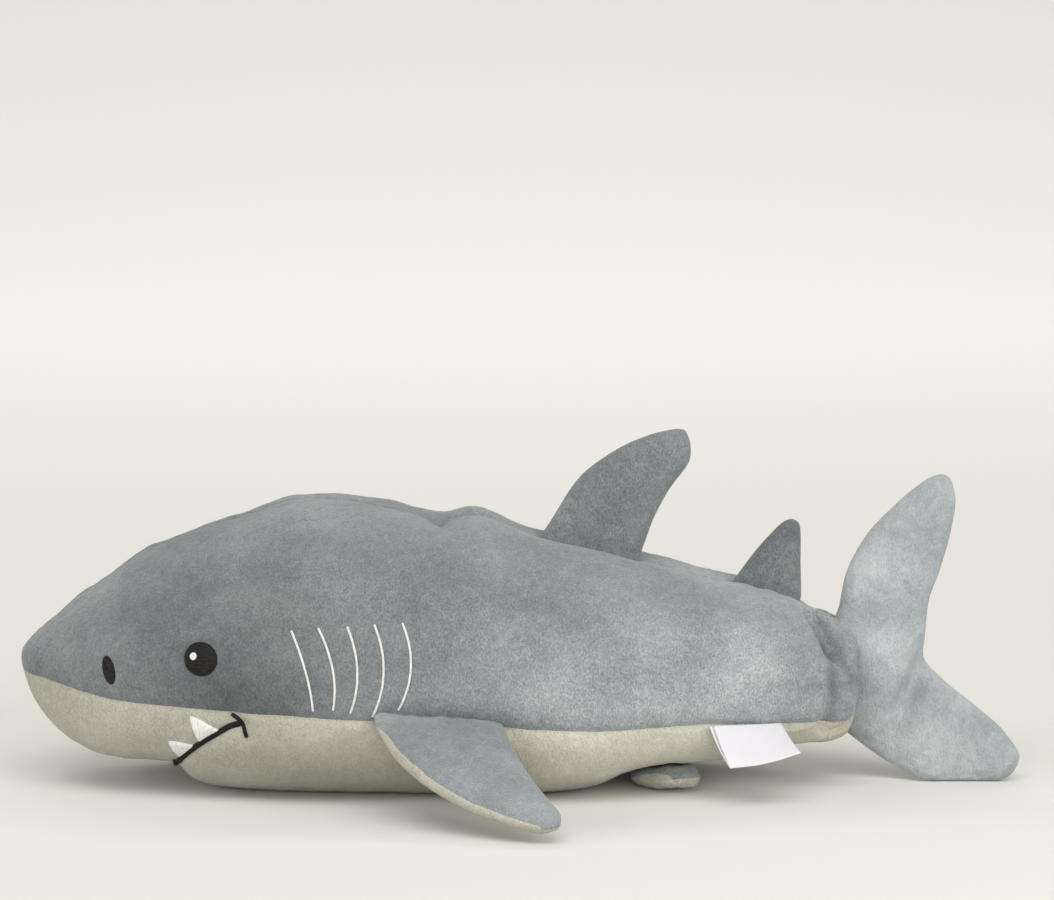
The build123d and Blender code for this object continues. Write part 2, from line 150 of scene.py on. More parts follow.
def plain_half():
    """One half of the body before its creases: points, outward normals, and each point's distance
    around the section from the flank seam (below it negative) and from the middle of the back."""
    u = np.linspace(0, 1, STATIONS)
    x = NOSE_X + (RING_X - NOSE_X) * (1 - np.cos(math.pi * u)) / 2
    z1, z0, w = top(x), bottom(x), half_width(x)
    middle = z0 + WIDEST_SHARE * (z1 - z0)
    angle = np.linspace(0, math.pi, 500) ** 1.5 / math.pi ** 0.5
    c, s = np.cos(angle), np.sin(np.clip(angle, 0, math.pi))
    power = 2 / np.where(c > 0, FLAT_BELLY, ROUND_BACK)
    reach = np.where(c[None] > 0, (z0 - middle)[:, None], (z1 - middle)[:, None])
    ys = w[:, None] * np.maximum(s, 0) ** power
    zs = middle[:, None] + reach * np.abs(c) ** power
    columns_low = closer_at_ends(np.linspace(0, 1, BELLY_COLUMNS + 1))
    columns_high = closer_at_ends(np.linspace(0, 1, BACK_COLUMNS + 1))[1:]
    grid, seam_off, top_off = [], [], []
    for i in range(STATIONS):
        run = np.concatenate([[0], np.cumsum(np.hypot(np.diff(ys[i]), np.diff(zs[i])))])
        seam = np.interp(flank_seam(x[i]), zs[i], run) if run[-1] > 0 else 0.0
        at = np.concatenate([seam * columns_low, seam + (run[-1] - seam) * columns_high])
        y, z = np.interp(at, run, ys[i]), np.interp(at, run, zs[i])
        grid.append(np.stack([np.full_like(y, x[i]), y, z], -1))
        seam_off.append(at - seam)
        top_off.append(run[-1] - at)
    points = np.array(grid)
    normal = np.cross(np.gradient(points, axis=1), np.gradient(points, axis=0))
    inward = np.array([0, 0, 1.0]) * middle[:, None, None] + np.array([1.0, 0, 0]) * x[:, None, None]
    normal *= np.where(((points - inward) * normal).sum(-1, keepdims=True) < 0, -1, 1)
    normal[:, (0, -1), 1] = 0
    normal[:2], normal[-2:] = (-1, 0, 0), (1, 0, 0)
    return points, unit(normal), np.array(seam_off), np.array(top_off)


# ---- Creases, seams and folds of the body ------------------------------------------------

MOUTH = [(-111.6, 11.6), (-109.4, 14.0), (-105.6, 17.8), (-101, 21.4), (-96.4, 24.4), (-92.6, 26.6),
         (-89.4, 27.4)]  # from under the chin to the corner
CORNER = [(-92.6, 30.4), (-90.6, 29.2), (-88.8, 26.8), (-87.6, 22.8)]
CHIN_X, CHIN_HALF, CHIN_BOW = -112.0, 18.0, 3.0  # the mouth's line under the chin
GILL_TOPS = [(-73.1, 58), (-64.4, 59), (-55.1, 59.5), (-46.5, 60.1), (-37.6, 60.4)]
GILL_FEET = [(-66.1, 32.1), (-59.7, 32.5), (-54.2, 31.6), (-47.2, 30.4), (-38.9, 32.7)]
GILL_BOW = [1.2, 2.4, 2.8, 3.4, 3.5]
EYE, EYE_RADIUS = (-102.3, 48.0), 5.4
NOSTRIL, NOSTRIL_HALF = (-133.0, 42.2), (2.05, 4.6)
RING_CREASE = [(96.6, 61), (97.4, 57.5), (99.4, 53), (102, 49), (104.8, 45), (107.4, 39.5), (108.6, 35)]
SIDE_FOLD = [(99.5, 47), (101.6, 42), (102.8, 36), (102.4, 30), (100.4, 24), (97.6, 17)]
PECTORAL_ROOT = (-46.5, -1.5)


def chin_line(y):
    """Where the mouth's line lies under the chin, further forward in the middle."""
    return CHIN_X - CHIN_BOW * np.clip(1 - (y / CHIN_HALF) ** 2, 0, 1)


def gill_path(k):
    """One gill line in the side view, bowed towards the tail."""
    (x0, z0), (x1, z1), bow = GILL_TOPS[k], GILL_FEET[k], GILL_BOW[k]
    t = np.linspace(0, 1, 9)
    return list(zip(x0 + (x1 - x0) * t + bow * 4 * t * (1 - t), z0 + (z1 - z0) * t))


def broad_shape(points, top_off):
    """Swells and hollows, some 10 mm wide or more: the grain's lumps, and the humps of the back."""
    x, z = points[..., 0], points[..., 2]
    high = ease(z, 45, 85)
    swell = 0.4 * bell(x + 66, 24) * high + 2.6 * bell(x + 15, 13) * high * ease(top_off, 0, 9)
    valley = ease(x, -110, -10) * (2.4 - 1.4 * ease(x, 50, 100)) * bell(top_off, 8)
    hollow = 1.2 * bell(x + 27, 9) * bell(top_off - 12, 18)
    chin = 1.0 * bell(x + 105, 7) * ease(-z, -16, -6) - 0.8 * bell(x + 119, 7) * ease(-z, -22, -8)
    grain = 0.9 * lumps(points, 42, 1) + 0.5 * lumps(points, 19, 2)
    steady = ease(x, NOSE_X, NOSE_X + 20) * (1 - ease(x, 100, RING_X))
    cheek = 1.0 * bell(x + 94, 10) * bell(z - 18, 10)
    return swell - valley - hollow + chin + cheek + steady * grain * ease(z, 0, 14)


def fine_shape(points, seam_off, top_off, side):
    """Seams, creases, puckers and stitched-in dents."""
    x, y, z = points[..., 0], points[..., 1], points[..., 2]
    body = ease(x, NOSE_X, NOSE_X + 10) * (1 - ease(x, 104, RING_X))
    seam = 0.75 * bell(seam_off, 1.3) + 0.85 * bell(seam_off, 5)
    back_seam = 0.7 * bell(top_off, 1.2)
    pucker = lumps(points * (1, 0.35, 0.35), 3.4, 3) * 0.32 * bell(np.abs(seam_off) - 2.5, 4.5)
    pucker += lumps(points * (1, 0.35, 0.35), 3.6, 4) * 0.25 * bell(top_off - 2, 5)
    notch_x = -27.6 + 0.20 * top_off
    reach = 27 if side < 0 else 16
    notch = 2.4 * bell(x - notch_x, 2.2) * (1 - ease(top_off, 2, reach))
    notch += 1.3 * bell(x - notch_x, 6) * (1 - ease(top_off, 8, reach + 12))
    off, _ = off_line(x, z, MOUTH)
    under = np.where(z < 9, np.abs(x - chin_line(y)), 99)
    mouth = 1.3 * bell(np.minimum(off, under), 2.2)
    corner = 0.7 * bell(off_line(x, z, CORNER)[0], 1.6)
    gills = sum(0.55 * bell(off_line(x, z, gill_path(k))[0], 1.5) for k in range(5))
    eye_off = np.hypot(x - EYE[0], z - EYE[1])
    dents = 0.9 * bell(eye_off, 7.5) + 0.9 * bell(np.hypot((x - NOSTRIL[0]) / 2.6, (z - NOSTRIL[1]) / 5), 1)
    root = ease(x, PECTORAL_ROOT[0] - 3, PECTORAL_ROOT[0] + 3) * (1 - ease(x, -4, 3))
    pulled = 1.2 * root * bell(seam_off, 4)
    pile = 0.09 * lumps(points, 1.1, 11) + 0.06 * lumps(points, 2.4, 12)
    surface = 0.2 * lumps(points, 7, 5) + pile * ease(points[..., 2], 0, 3)
    surface *= ease(x, NOSE_X, NOSE_X + 4) * (1 - ease(x, RING_X - 4, RING_X))
    return surface + body * (pucker - seam - back_seam - pulled) - notch - mouth - corner - gills - dents


def tail_gathers(points, side):
    """Folds that run to the gathered ring, the ring's own crease, and its puffed rim."""
    x, y, z = points[..., 0], points[..., 1], points[..., 2]
    around = np.arctan2(y * side, z - 34)
    lane = np.stack([np.cos(around) * 3.0, np.sin(around) * 3.0, x * 0.012], -1)
    folds = lumps(lane, 1.0, 6 + side) - 0.35 * np.abs(lumps(lane * (2.2, 2.2, 1), 1.0, 8))
    grown = ease(x, 62, 101) ** 1.5
    off, along = off_line(x, z, RING_CREASE)
    on_side = ease(np.abs(y), 1, 7)
    fading = 1 - ease(along, 0.45, 1.0)
    crease = (6.2 * bell(off, 1.5) + 2.0 * bell(off, 4.0)) * on_side * (0.12 + 0.88 * fading)
    behind = x - np.interp(z, [k[1] for k in RING_CREASE[::-1]], [k[0] for k in RING_CREASE[::-1]])
    rim = 2.4 * bell(behind - 5.0, 3.2) * ease(z, 30, 44) + 0.9 * bell(x - 107.5, 3)
    rim *= 1 - ease(x, 108.5, RING_X)
    side_off, side_along = off_line(x, z, SIDE_FOLD)
    side_fold = 2.6 * bell(side_off, 2.0) * np.sin(math.pi * np.clip(side_along, 0, 1)) * on_side
    small = 0.55 * lumps(points * (0.6, 1, 1), 4.5, 9) * grown * (1 - ease(x, 106, RING_X))
    return 1.5 * folds * grown * (1 - 0.6 * ease(x, 104, 110)) - crease - side_fold + rim + small


def resting(points):
    """The belly is flat where it rests."""
    out = points.copy()
    out[..., 2] = 0.5 * (points[..., 2] + np.sqrt(points[..., 2] ** 2 + 0.6))
    out[..., 2] = np.maximum(out[..., 2] - 0.387 * bell(points[..., 2], 3), 0.02)
    return out


# Patches of painted light and shade on the pile, in part the look of how the pile is brushed: (x, z), the
# patch's half width and half height, and how much lighter it looks.
BACK_NAP_AND_PAINTED_LIGHT = [((-86, 36), 26, 11, -0.34), ((-84, 56), 40, 26, -0.25), ((40, 36), 45, 15, 0.38),
            ((70, 52), 34, 20, 0.14)]
BELLY_NAP_AND_PAINTED_LIGHT = [((-72, 14), 30, 16, -0.18), ((34, 22), 40, 16, 0.12)]
TAIL_NAP_AND_PAINTED_LIGHT = [((118, 42), 9, 18, 0.20)]


def nap_and_painted_light_patches(points, patches):
    return 1 + sum(amount * bell((points[:, 0] - x) / wide, 1) * bell((points[:, 2] - z) / high, 1)
                   for (x, z), wide, high, amount in patches)


def body_nap_and_painted_light(points):
    """The grey pile's painted light and shade, with painted shade darkening the creases."""
    x, y, z = points.T
    on_side = ease(np.abs(y), 1, 7)
    off, along = off_line(x, z, RING_CREASE)
    # Painted shade in the gathered ring's crease and in the side fold.
    creased = 0.5 * bell(off, 1.7) * (1 - 0.7 * along)
    creased += 0.3 * bell(off_line(x, z, SIDE_FOLD)[0], 2.2)
    return nap_and_painted_light_patches(points, BACK_NAP_AND_PAINTED_LIGHT) * (1 - creased * on_side)


# Painted light and shade on the belly, in part the look of how its pile is brushed.
def belly_nap_and_painted_light(points):
    return nap_and_painted_light_patches(points, BELLY_NAP_AND_PAINTED_LIGHT)


# Painted light on the tail fin, in part the look of how its pile is brushed.
def tail_nap_and_painted_light(points):
    return nap_and_painted_light_patches(points, TAIL_NAP_AND_PAINTED_LIGHT)


# ---- Mesh helpers ------------------------------------------------------------------------


def mesh_piece(name, points, faces, material, nap_and_painted_light=None):
    """A mesh object from points in mm, cleaned of doubled points, with its rest place as an attribute.

    The last argument scales the pile's colour at each point for painted light and shade, in part the look of
    how the pile is brushed, and is 1 where it isn't given.
    """
    mesh = bpy.data.meshes.new(name)
    mesh.from_pydata((np.asarray(points) * MM).tolist(), [], np.asarray(faces).tolist())
    piece = bpy.data.objects.new(name, mesh)
    bpy.context.scene.collection.objects.link(piece)
    clean(mesh)
    rest = mesh.attributes.new("rest", "FLOAT_VECTOR", "POINT")
    places = np.empty(len(mesh.vertices) * 3)
    mesh.vertices.foreach_get("co", places)
    rest.data.foreach_set("vector", places)
    places = places.reshape(-1, 3) / MM
    lightness = mesh.attributes.new("nap_and_painted_light", "FLOAT", "POINT")
    lightness.data.foreach_set("value", nap_and_painted_light(places) if nap_and_painted_light else np.ones(len(places)))
    mesh.polygons.foreach_set("use_smooth", [True] * len(mesh.polygons))
    mesh.materials.append(material)
    return piece


def clean(mesh):
    bm = bmesh.new()
    bm.from_mesh(mesh)
    bmesh.ops.remove_doubles(bm, verts=bm.verts, dist=2e-6)
    bmesh.ops.dissolve_degenerate(bm, dist=1e-6, edges=bm.edges)
    bmesh.ops.recalc_face_normals(bm, faces=bm.faces)
    bm.to_mesh(mesh)
    bm.free()


def quads(rows, columns, start=0):
    """The faces of a grid of points numbered row by row."""
    i = np.arange(rows - 1)[:, None] * columns + np.arange(columns - 1)[None] + start
    return np.stack([i, i + 1, i + columns + 1, i + columns], -1).reshape(-1, 4)


def shell(outer, inner):
    """The points and faces of a closed solid between two grids of the same size."""
    rows, columns = outer.shape[:2]
    count = rows * columns
    faces = [quads(rows, columns), quads(rows, columns, count)[:, ::-1]]
    order = np.arange(count).reshape(rows, columns)
    for edge in (order[0], order[-1][::-1], order[:, 0][::-1], order[:, -1]):
        a, b = edge[:-1], edge[1:]
        faces.append(np.stack([b, a, a + count, b + count], -1))
    return np.concatenate([outer.reshape(-1, 3), inner.reshape(-1, 3)]), np.concatenate(faces)


def settle(piece, body, slot, *nodes, bend=None):
    """Say what a finished piece moves with and which CAD nodes it stands for; slot, the finish it has, is not
    used.

    With bend, the piece only has its transform baked in: it is not attached to the trunk or the body.
    """
    if bend:
        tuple(bend[0])
        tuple(bend[1])
        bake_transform(piece)
    else:
        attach(piece, body)
    if nodes:
        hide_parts(*nodes)
    return piece


# ---- Materials ---------------------------------------------------------------------------

def new_material(name):
    material = bpy.data.materials.new(name)
    material.use_nodes = True
    tree = material.node_tree
    return material, tree, tree.nodes["Principled BSDF"]


def add(tree, kind, settings=None, **inputs):
    """A node with its settings, and its sockets set to a value or linked from another socket."""
    node = tree.nodes.new(kind)
    for key, value in (settings or {}).items():
        setattr(node, key, value)
    for key, value in inputs.items():
        socket = node.inputs[int(key[1:])] if key[0] == "i" and key[1:].isdigit() else node.inputs[key]
        if isinstance(value, bpy.types.NodeSocket):
            tree.links.new(value, socket)
        else:
            socket.default_value = value
    return node


def stretched_noise(tree, place, stretch, scale, detail=2.0, rough=0.5):
    """Noise in the cloth's rest place, with features longer along the axes of a small stretch."""
    scaled = add(tree, "ShaderNodeMapping", {"vector_type": "POINT"}, Vector=place, Scale=stretch)
    made = add(tree, "ShaderNodeTexNoise", Vector=scaled.outputs[0], Scale=scale, Detail=detail,
               Roughness=rough)
    return made.outputs[0]


def mixed(tree, kind, a, b):
    return add(tree, "ShaderNodeMath", {"operation": kind}, i0=a, i1=b).outputs[0]


def ramp(tree, factor, stops):
    node = add(tree, "ShaderNodeValToRGB", i0=factor)
    points = node.color_ramp.elements
    while len(points) < len(stops):
        points.new(0.5)
    for point, (place, colour) in zip(points, stops):
        point.position, point.color = place, (*colour, 1)
    return node.outputs[0]


def fleece(name, shadow, body, light, sheen=0.35, nose=1.0, tail=1.0, hair=0.66):
    """Short brushed pile: broad strokes where it was brushed, tufts, and single light hairs.

    nose and tail scale its colour from one end of the toy to the other, painted light where they differ, and
    hair is the hairs' contrast.
    """
    material, tree, shader = new_material(name)
    place = add(tree, "ShaderNodeAttribute", {"attribute_name": "rest"}).outputs["Vector"]
    strokes = stretched_noise(tree, place, (0.8, 1, 1.3), 30, 2, 0.5)
    tufts = stretched_noise(tree, place, (1.1, 1, 0.8), 330, 2, 0.55)
    hairs = stretched_noise(tree, place, (1.3, 1.2, 0.8), 1500, 2, 0.6)
    tone = mixed(tree, "MULTIPLY", strokes, 0.50)
    tone = mixed(tree, "ADD", tone, mixed(tree, "MULTIPLY", tufts, 0.22))
    tone = mixed(tree, "ADD", tone, mixed(tree, "MULTIPLY", hairs, hair))
    middle = 0.36 + hair / 2
    colour = ramp(tree, tone, [(middle - 0.20, shadow), (middle, body), (middle + 0.24, light)])
    height = mixed(tree, "ADD", mixed(tree, "MULTIPLY", tufts, 0.8), mixed(tree, "MULTIPLY", hairs, 0.8))
    bump = add(tree, "ShaderNodeBump", Strength=0.8, Distance=0.0007, Height=height)
    # Painted light: the colour is scaled from nose to tail and by the painted light and shade given at each
    # point.
    along = add(tree, "ShaderNodeSeparateXYZ", Vector=place).outputs[0]
    shade = add(tree, "ShaderNodeMapRange", Value=along, i1=NOSE_X * MM, i2=RING_X * MM, i3=nose, i4=tail)
    nap_and_painted_light = add(tree, "ShaderNodeAttribute", {"attribute_name": "nap_and_painted_light"}).outputs["Fac"]
    shade = mixed(tree, "MULTIPLY", shade.outputs[0], nap_and_painted_light)
    colour = add(tree, "ShaderNodeVectorMath", {"operation": "SCALE"}, i0=colour, i3=shade).outputs[0]
    tree.links.new(colour, shader.inputs["Base Color"])
    tree.links.new(bump.outputs[0], shader.inputs["Normal"])
    shader.inputs["Roughness"].default_value = 0.95
    shader.inputs["Specular IOR Level"].default_value = 0.12
    shader.inputs["Sheen Weight"].default_value = sheen
    shader.inputs["Sheen Roughness"].default_value = 0.45
    shader.inputs["Sheen Tint"].default_value = (0.9, 0.95, 1.0, 1)
    return material


def thread(name, dark, light, stitch, gloss=0.45, sheen=0.15, shine=0.3):
    """Satin stitches: fine parallel threads with a soft gloss along them."""
    material, tree, shader = new_material(name)
    place = add(tree, "ShaderNodeAttribute", {"attribute_name": "rest"}).outputs["Vector"]
    strands = stretched_noise(tree, place, stitch, 900, 2, 0.6)
    colour = ramp(tree, strands, [(0.35, dark), (0.68, light)])
    bump = add(tree, "ShaderNodeBump", Strength=0.6, Distance=0.0003, Height=strands)
    tree.links.new(colour, shader.inputs["Base Color"])
    tree.links.new(bump.outputs[0], shader.inputs["Normal"])
    shader.inputs["Roughness"].default_value = gloss
    shader.inputs["Specular IOR Level"].default_value = shine
    shader.inputs["Sheen Weight"].default_value = sheen
    return material


def satin(name):
    """Plain white ribbon with a fine cross weave."""
    material, tree, shader = new_material(name)
    place = add(tree, "ShaderNodeAttribute", {"attribute_name": "rest"}).outputs["Vector"]
    weave = add(tree, "ShaderNodeTexWave", {"bands_direction": "X"}, Vector=place, Scale=900.0,
                Distortion=0.6, Detail=1.0).outputs[1]
    colour = ramp(tree, weave, [(0.0, (0.60, 0.585, 0.635)), (1.0, (0.70, 0.685, 0.73))])
    bump = add(tree, "ShaderNodeBump", Strength=0.25, Distance=0.0002, Height=weave)
    tree.links.new(colour, shader.inputs["Base Color"])
    tree.links.new(bump.outputs[0], shader.inputs["Normal"])
    shader.inputs["Roughness"].default_value = 0.42
    shader.inputs["Sheen Weight"].default_value = 0.3
    return material


SLATE = ((0.125, 0.145, 0.152), (0.215, 0.240, 0.250), (0.36, 0.39, 0.40))


def slate(lightness):
    """The three tones of the grey pile, scaled by lightness for the lit and shaded copies of the grey:
    painted light and shade.
    """
    return [tuple(lightness * c for c in tone) for tone in SLATE]


# GREY and PALE run darker at the nose and lighter at the tail: painted light.
GREY = fleece("slate_fleece", *SLATE, nose=0.70, tail=1.08)
# Lit and shaded copies of the grey: painted shade on the back fins and painted light on the tail fin.
SHADED_SLATE = fleece("slate_fleece_painted_shade", *slate(0.8))
DEEPER_SHADED_SLATE = fleece("slate_fleece_painted_deeper_shade", *slate(0.62))
MID_NAP = fleece("slate_fleece_flat", *slate(0.99), hair=0.5)
LIT_SLATE = fleece("slate_fleece_painted_light", *slate(1.42), hair=0.3)
PALE = fleece("belly_fleece", (0.32, 0.306, 0.247), (0.435, 0.418, 0.35), (0.57, 0.555, 0.485),
              sheen=0.2, nose=0.85, tail=1.05)
BLACK = thread("black_thread", (0.004, 0.0035, 0.0035), (0.020, 0.018, 0.018), (0.5, 1, 2.6), gloss=0.5,
               sheen=0.0, shine=0.14)
WHITE = thread("white_thread", (0.58, 0.58, 0.57), (0.78, 0.78, 0.77), (2.2, 1, 0.5), 0.5)
SATIN = satin("ribbon_satin")
FIBRE = thread("fibre_fill", (0.70, 0.70, 0.68), (0.92, 0.92, 0.90), (0.3, 1, 1), 0.9)
COTTON = thread("liner_cotton", (0.60, 0.55, 0.45), (0.78, 0.74, 0.64), (1, 1, 1), 0.9)
GRAIN = thread("grain", (0.38, 0.26, 0.12), (0.66, 0.50, 0.28), (0.3, 0.3, 0.3), 0.7)
THREAD = thread("sewing_thread", (0.13, 0.15, 0.16), (0.24, 0.27, 0.28), (1, 1, 1), 0.6)

# ---- Body panels -------------------------------------------------------------------------


def body_half(side, half):
    """One half of the body: its skin's outer surface, and a function giving the surface at a depth."""
    points, normals, seam_off, top_off = half
    points, normals = points * (1, side, 1), normals * (1, side, 1)
    broad = broad_shape(points, top_off)
    fine = fine_shape(points, seam_off, top_off, side) + tail_gathers(points, side)
    outer = resting(points + normals * (broad + fine)[..., None])
    outer[:, (0, -1), 1] = 0

    def layer(depth):
        """The surface at a depth below the skin, smoother than it and clear of its creases."""
        down = np.minimum(broad - depth, broad + fine - 0.55 * depth)
        under = points + normals * down[..., None]
        under[..., 2] = np.maximum(under[..., 2], 0.75 * depth)
        under[..., 1] = side * np.maximum(under[..., 1] * side, 0)
        under[:, (0, -1), 1] = 0
        return under

    return outer, layer


def skin_tree(halves):
    """A search tree of the whole outer skin, for laying stitches on it."""
    points, faces = [], []
    for outer, _ in halves.values():
        faces.append(quads(*outer.shape[:2], sum(len(p) for p in points)))
        points.append(outer.reshape(-1, 3))
    return BVHTree.FromPolygons(np.concatenate(points).tolist(), np.concatenate(faces).tolist())


def tube(path, radius, sides=8):
    """A closed cord along a path of points."""
    path = np.asarray(path, float)
    along = unit(np.gradient(path, axis=0))
    across = unit(np.cross(along, (0.31, 0.12, 0.94)))
    third = np.cross(along, across)
    angle = np.linspace(0, 2 * math.pi, sides + 1)[None, :, None]
    size = np.full((len(path), 1, 1), radius)
    size[(0, -1), :] = 0.0
    grid = path[:, None] + size * (np.cos(angle) * across[:, None] + np.sin(angle) * third[:, None])
    return grid.reshape(-1, 3), quads(len(path), sides + 1)


def bag(halves, depth, low, high):
    """The points and faces of a closed solid that fills the body below a depth, from low to high."""
    loops = np.concatenate([halves["left"][1](depth), halves["right"][1](depth)[:, ::-1]], 1)
    x = loops[:, 0, 0]
    rows = loops[(x > low) & (x < high)][::2, ::2]
    ends = [np.repeat(rows[k].mean(0)[None, None], rows.shape[1], 1) for k in (0, -1)]
    grid = np.concatenate([ends[0], rows, ends[1]])
    return grid.reshape(-1, 3), quads(*grid.shape[:2])


def joined(*solids):
    """Several (points, faces) solids as one."""
    starts = np.cumsum([0] + [len(p) for p, _ in solids])
    faces = [f + start for (_, f), start in zip(solids, starts)]
    return np.concatenate([p for p, _ in solids]), np.concatenate(faces)


def make_filling(halves):
    """The bag of grain, the loose fibre at both ends, and the threads behind the seams."""
    liner = joined(bag(halves, 3.4, LINER_X[0], LINER_X[1]), bag(halves, 4.4, LINER_X[0] + 1, LINER_X[1] - 1))
    settle(mesh_piece("cotton_liner", *liner, COTTON), "trunk", "liner_cotton", "liner_bag")
    grain = bag(halves, 4.7, LINER_X[0] + 1.4, LINER_X[1] - 1.4)
    settle(mesh_piece("loose_grain", *grain, GRAIN), "trunk", "grain", "grain_fill")
    for name, low, high, node in (("nose_fibre", NOSE_X + 3, LINER_X[0] - 1, "nose_stuffing"),
                                  ("tail_fibre", LINER_X[1] + 1, RING_X - 4, "tail_stock_stuffing")):
        piece = mesh_piece(name, *bag(halves, 3.4, low, high), FIBRE)
        settle(piece, "trunk", "polyester_fibre", node)
    left, right = (halves[name][1](2.75)[6:-6] for name in ("left", "right"))
    both = joined(*(tube(line[:, BELLY_COLUMNS], THREAD_RADIUS) for line in (left, right)))
    piece = mesh_piece("flank_thread", *both, THREAD)
    settle(piece, "trunk", "seam_thread", "flank_seam_thread")
    piece = mesh_piece("back_thread", *tube(left[:, -1], THREAD_RADIUS), THREAD)
    settle(piece, "trunk", "seam_thread", "back_seam_thread")


def make_body():
    half = plain_half()
    halves = {name: body_half(side, half) for name, side in SIDES}
    for name, (outer, layer) in halves.items():
        panel = shell(outer[:, BELLY_COLUMNS:], layer(CLOTH)[:, BELLY_COLUMNS:])
        piece = mesh_piece(f"back_fleece_{name}", *panel, GREY, nap_and_painted_light=body_nap_and_painted_light)
        settle(piece, "trunk", "back_fleece", f"back_panel_{name}")
    low = [np.concatenate([left[:, BELLY_COLUMNS:0:-1], right[:, :BELLY_COLUMNS + 1]], 1)
           for left, right in ((halves["left"][0], halves["right"][0]),
                               (halves["left"][1](CLOTH), halves["right"][1](CLOTH)))]
    piece = mesh_piece("belly_fleece", *shell(*low), PALE, nap_and_painted_light=belly_nap_and_painted_light)
    settle(piece, "trunk", "belly_fleece", "belly_panel")
    make_filling(halves)
    return skin_tree(halves)


# ---- Stitched face and gills --------------------------------------------------------------


def on_skin(skin, points):
    """The nearest places on the skin, and the outward normals there."""
    flat = np.asarray(points, float).reshape(-1, 3)
    hits = [skin.find_nearest(Vector(p)) for p in flat]
    places = np.array([h[0] for h in hits])
    normals = np.array([h[1] for h in hits])
    centre = np.stack([places[:, 0], np.zeros(len(places)), np.full(len(places), 38.0)], -1)
    normals *= np.where(((places - centre) * normals).sum(-1, keepdims=True) < 0, -1, 1)
    shape = np.shape(points)
    return places.reshape(shape), normals.reshape(shape)


def from_side(skin, x, z, side):
    """Where side-view points (x, z) lie on the skin, and its normals there."""
    x, z = np.broadcast_arrays(np.asarray(x, float), np.asarray(z, float))
    places, normals = [], []
    for a, b in zip(x.ravel(), z.ravel()):
        place, normal, _, _ = skin.ray_cast(Vector((a, side * 150, b)), Vector((0, -side, 0)))
        places.append(place)
        normals.append(normal if normal.y * side > 0 else -normal)
    shape = (*x.shape, 3)
    return np.array(places).reshape(shape), np.array(normals).reshape(shape)


def from_below(skin, x, y):
    """Where points (x, y) seen from below lie on the skin."""
    return np.array([skin.ray_cast(Vector((a, b, -50)), Vector((0, 0, 1)))[0] for a, b in zip(x, y)])


def softened(normals, times=3):
    """Grid normals averaged with their neighbours, so that a patch bridges the pile's small bumps."""
    for _ in range(times):
        padded = np.pad(normals, ((1, 1), (1, 1), (0, 0)), "edge")
        normals = sum(padded[i:i + normals.shape[0], j:j + normals.shape[1]]
                      for i in (0, 1, 2) for j in (0, 1, 2))
        normals = unit(normals)
    return normals


def stitched_disc(skin, name, centre, half, tilt, side, height, material, pitch=0.42, base=0.2):
    """A satin-stitched oval: a low dome of parallel threads with a stepped edge."""
    a, b = np.meshgrid(np.linspace(-1, 1, 61), np.linspace(-1, 1, 61), indexing="ij")
    u, v = a * np.sqrt(1 - b * b / 2), b * np.sqrt(1 - a * a / 2)
    turn = math.radians(tilt)
    x = centre[0] + half[0] * u * math.cos(turn) - half[1] * v * math.sin(turn)
    z = centre[1] + half[0] * u * math.sin(turn) + half[1] * v * math.cos(turn)
    places, normals = from_side(skin, x, z, side)
    normals = softened(normals, 8)
    edge = np.clip(1 - np.hypot(u, v), 0, 1)
    dome = base + height * np.sqrt(1 - (1 - edge) ** 2.4)
    ridge = 0.05 * np.sin(2 * math.pi * v * half[1] / pitch) * ease(edge, 0, 0.1)
    outer = places + normals * (dome + ridge)[..., None]
    return mesh_piece(name, *shell(outer, places - normals * 0.9), material)


def resampled(path, step):
    """Points evenly spaced along a smooth curve through a path's points."""
    path = np.asarray(path, float)
    run = np.concatenate([[0], np.cumsum(np.linalg.norm(np.diff(path, axis=0), axis=1))])
    at = np.linspace(0, run[-1], max(int(run[-1] / step), 6) + 1)
    return np.stack([smooth_curve(list(zip(run, path[:, k])))(at) for k in range(3)], -1)


def stitched_line(skin, name, path, width, height, material, pitch=0.5, slant=0.5, more=()):
    """Closed cords of satin stitches along paths laid on the skin, all in one mesh."""
    points, faces = [], []
    for route in (path, *more):
        line, normals = on_skin(skin, resampled(route, 0.13))
        normals = softened(normals[:, None], 12)[:, 0]
        along = unit(np.gradient(line, axis=0))
        across = unit(np.cross(normals, along))
        run = np.linspace(0, len(line) * 0.13, len(line))
        from_end = np.minimum(run, run[-1] - run)
        taper = np.sqrt(np.clip(1 - (1 - np.clip(from_end / (width / 2), 0, 1)) ** 2, 0.0, 1))
        c = -np.cos(np.linspace(0, math.pi, 11))
        ridge = 0.07 * np.sin(2 * math.pi * (run[:, None] / pitch + slant * c[None]))
        rise = (0.1 + (height + ridge) * np.sqrt(1 - c ** 2)[None]) * taper[:, None]
        side = across[:, None] * (c[None] * width / 2 * taper[:, None])[..., None]
        outer = line[:, None] + side + normals[:, None] * rise[..., None]
        inner = line[:, None] + side * 0.9 - normals[:, None] * 0.7
        made = shell(outer, inner)
        faces.append(made[1] + sum(len(p) for p in points))
        points.append(made[0])
    return mesh_piece(name, np.concatenate(points), np.concatenate(faces), material)


